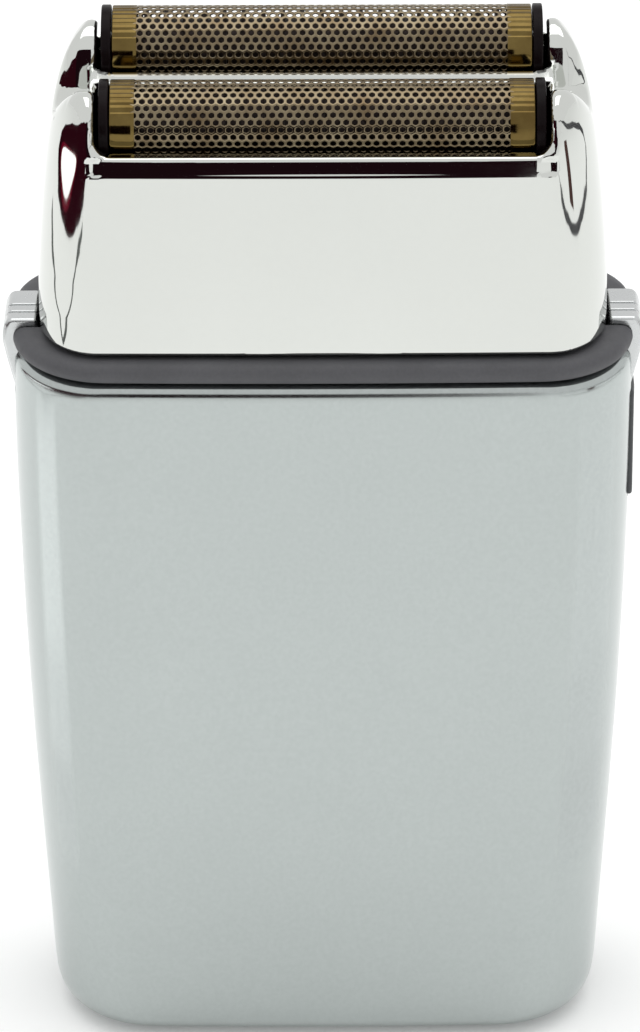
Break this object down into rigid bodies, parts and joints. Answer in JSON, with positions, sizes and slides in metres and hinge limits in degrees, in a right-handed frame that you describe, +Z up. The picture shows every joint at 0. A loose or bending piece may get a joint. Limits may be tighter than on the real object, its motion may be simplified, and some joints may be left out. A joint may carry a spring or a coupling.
{
  "type": "foil shaver",
  "caption": "Flat handheld cordless foil shaver with a metal body, a grey collar, a lift-off mirror-plated head and tilted half-round gold perforated foils over oscillating cutters.",
  "frame": {"origin": "centre of the flat base cap the shaver stands on", "axes": "+Z up along the body towards the foils, -Y the front face the head slopes towards, +X to the right seen from the front (the power switch side)"},
  "size_m": [0.0664, 0.0292, 0.1113],
  "materials": {
    "satin_chrome": "satin silver plated, fine grain",
    "bright_chrome": "mirror plated",
    "silver_button": "fine satin silver",
    "grey_rubber": "matte soft-touch",
    "black_plastic": "semi-gloss black moulding",
    "dark_plastic": "fine-textured dark moulding",
    "white_plastic": "natural acetal",
    "gold_foil": "titanium-gold coated steel foil",
    "cutter_steel": "ground steel",
    "motor_steel": "plated can",
    "brass_part": "turned brass",
    "screw_steel": "zinc plated",
    "spring_steel": "spring wire",
    "board_green": "solder mask",
    "battery_wrap": "shrink film",
    "lens": "clear light guide",
    "lead_red": "silicone insulation",
    "lead_black": "silicone insulation"
  },
  "bodies": {
    "body": {"front_casing": "satin_chrome", "rear_casing": "satin_chrome", "base_cap": "dark_plastic", "charging_socket": "black_plastic", "indicator_lens": "lens", "collar_ring": "grey_rubber", "drive_deck": "black_plastic", "chassis": "dark_plastic", "battery_cell": "battery_wrap", "circuit_board": "board_green", "motor_can": "motor_steel", "motor_endcap": "white_plastic", "switch_bezel": "grey_rubber", "switch_body": "white_plastic", "deck_screw_1": "screw_steel", "deck_screw_2": "screw_steel", "deck_screw_3": "screw_steel", "deck_screw_4": "screw_steel", "base_screw_1": "screw_steel", "base_screw_2": "screw_steel", "motor_screw_1": "screw_steel", "motor_screw_2": "screw_steel", "board_screw_1": "screw_steel", "board_screw_2": "screw_steel", "battery_lead_red": "lead_red", "battery_lead_black": "lead_black", "button_spring_left": "spring_steel", "button_spring_right": "spring_steel"},
    "motor_drive": {"motor_rotor": "motor_steel", "double_eccentric": "brass_part"},
    "front_oscillator": {"oscillator_front": "white_plastic", "cutter_spring_front": "spring_steel"},
    "rear_oscillator": {"oscillator_rear": "white_plastic", "cutter_spring_rear": "spring_steel"},
    "head": {"head_frame": "bright_chrome", "head_liner": "black_plastic"},
    "front_foil": {"foil_front": "gold_foil", "foil_frame_front": "black_plastic"},
    "rear_foil": {"foil_rear": "gold_foil", "foil_frame_rear": "black_plastic"},
    "front_cutter": {"cutter_carrier_front": "dark_plastic", "cutter_blades_front": "cutter_steel"},
    "rear_cutter": {"cutter_carrier_rear": "dark_plastic", "cutter_blades_rear": "cutter_steel"},
    "left_button": {"release_button_left": "silver_button"},
    "right_button": {"release_button_right": "silver_button"},
    "power_switch": {"switch_slider": "dark_plastic"}
  },
  "joints": [
    {"name": "motor_spin", "type": "hinge", "parent": "body", "child": "motor_drive", "pos_m": [0, 0, 0.07], "axis": [0, 0, 1], "continuous": true},
    {"name": "head_lift", "type": "slide", "parent": "body", "child": "head", "axis": [0, 0, 1], "range_m": [0, 0.035]},
    {"name": "front_foil_float", "type": "slide", "parent": "head", "child": "front_foil", "axis": [0, 0.342, -0.9397], "range_m": [0, 0.001], "deforming": ["cutter_spring_front"]},
    {"name": "rear_foil_float", "type": "slide", "parent": "head", "child": "rear_foil", "axis": [0, 0.342, -0.9397], "range_m": [0, 0.001], "deforming": ["cutter_spring_rear"]},
    {"name": "front_cutter_stroke", "type": "slide", "parent": "front_foil", "child": "front_cutter", "axis": [1, 0, 0], "range_m": [-0.0012, 0.0012]},
    {"name": "rear_cutter_stroke", "type": "slide", "parent": "rear_foil", "child": "rear_cutter", "axis": [1, 0, 0], "range_m": [-0.0012, 0.0012]},
    {"name": "front_oscillator_stroke", "type": "slide", "parent": "body", "child": "front_oscillator", "axis": [1, 0, 0], "range_m": [-0.0012, 0.0012]},
    {"name": "rear_oscillator_stroke", "type": "slide", "parent": "body", "child": "rear_oscillator", "axis": [1, 0, 0], "range_m": [-0.0012, 0.0012]},
    {"name": "left_release", "type": "slide", "parent": "body", "child": "left_button", "axis": [1, 0, 0], "range_m": [0, 0.0009], "deforming": ["button_spring_left"]},
    {"name": "right_release", "type": "slide", "parent": "body", "child": "right_button", "axis": [-1, 0, 0], "range_m": [0, 0.0009], "deforming": ["button_spring_right"]},
    {"name": "power_slide", "type": "slide", "parent": "body", "child": "power_switch", "axis": [0, 0, 1], "range_m": [0, 0.0034]}
  ],
  "couplings": [
    {"joint": "rear_cutter_stroke", "follows": "front_cutter_stroke", "ratio": -1},
    {"joint": "front_oscillator_stroke", "follows": "front_cutter_stroke", "ratio": 1},
    {"joint": "rear_oscillator_stroke", "follows": "front_cutter_stroke", "ratio": -1}
  ]
}
